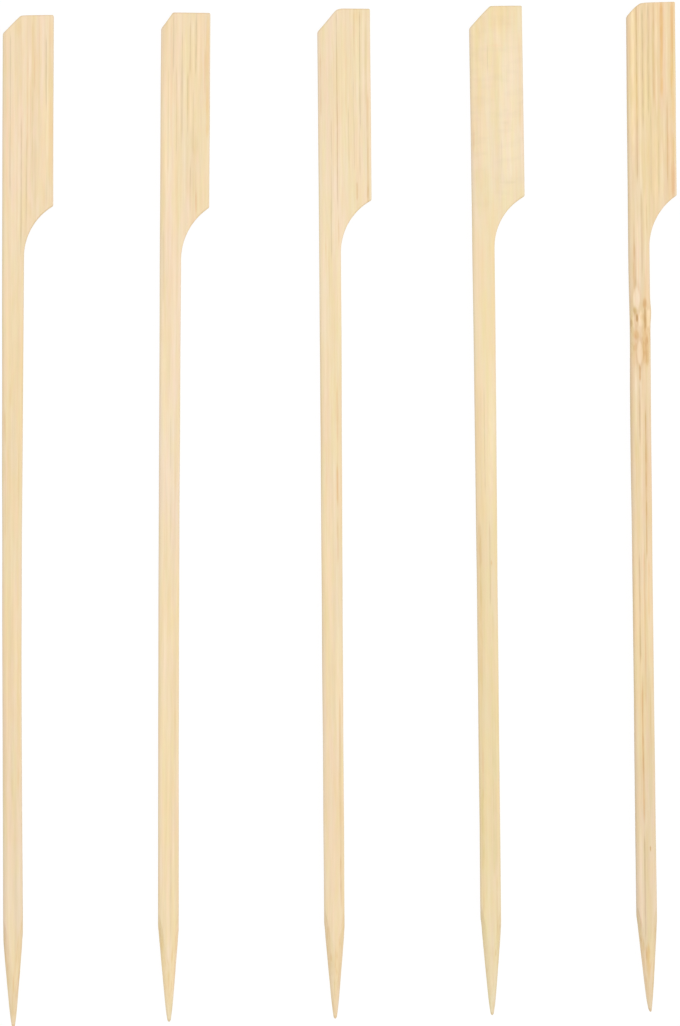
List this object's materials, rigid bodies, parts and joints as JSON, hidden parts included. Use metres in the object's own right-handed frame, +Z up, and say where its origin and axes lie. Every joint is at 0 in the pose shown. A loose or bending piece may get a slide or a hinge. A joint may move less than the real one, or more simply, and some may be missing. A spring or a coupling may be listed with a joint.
{
  "type": "golf club skewer",
  "caption": "Set of loose flat bamboo skewers: a broad paddle grip with one cut corner steps down through a hollow curve to a slim shaft with a ground point.",
  "frame": {"origin": "middle of the row of skewers, on the surface they lie on", "axes": "+Y along the skewers from point to grip, +X across the row, +Z up out of the broad faces"},
  "size_m": [0.1202, 0.1832, 0.003],
  "materials": {
    "bamboo_plain": "planed pale bamboo with fine lengthwise fibres, unvarnished",
    "bamboo_cross_figured": "planed pale bamboo, yellower, with faint marks across the grip and a browner shaft, unvarnished",
    "bamboo_noded": "planed bamboo with orange streaks and a culm node with brown flecks at the neck, unvarnished"
  },
  "bodies": {
    "skewer_1": {"skewer_1": "bamboo_plain"},
    "skewer_2": {"skewer_2": "bamboo_plain"},
    "skewer_3": {"skewer_3": "bamboo_plain"},
    "skewer_4": {"skewer_4": "bamboo_cross_figured"},
    "skewer_5": {"skewer_5": "bamboo_noded"}
  },
  "joints": [
    {"name": "lift_skewer_1", "type": "slide", "parent": "skewer_3", "child": "skewer_1", "axis": [0, 0, 1], "range_m": [0, 0.06]},
    {"name": "lift_skewer_2", "type": "slide", "parent": "skewer_3", "child": "skewer_2", "axis": [0, 0, 1], "range_m": [0, 0.06]},
    {"name": "lift_skewer_4", "type": "slide", "parent": "skewer_3", "child": "skewer_4", "axis": [0, 0, 1], "range_m": [0, 0.06]},
    {"name": "lift_skewer_5", "type": "slide", "parent": "skewer_3", "child": "skewer_5", "axis": [0, 0, 1], "range_m": [0, 0.06]}
  ]
}
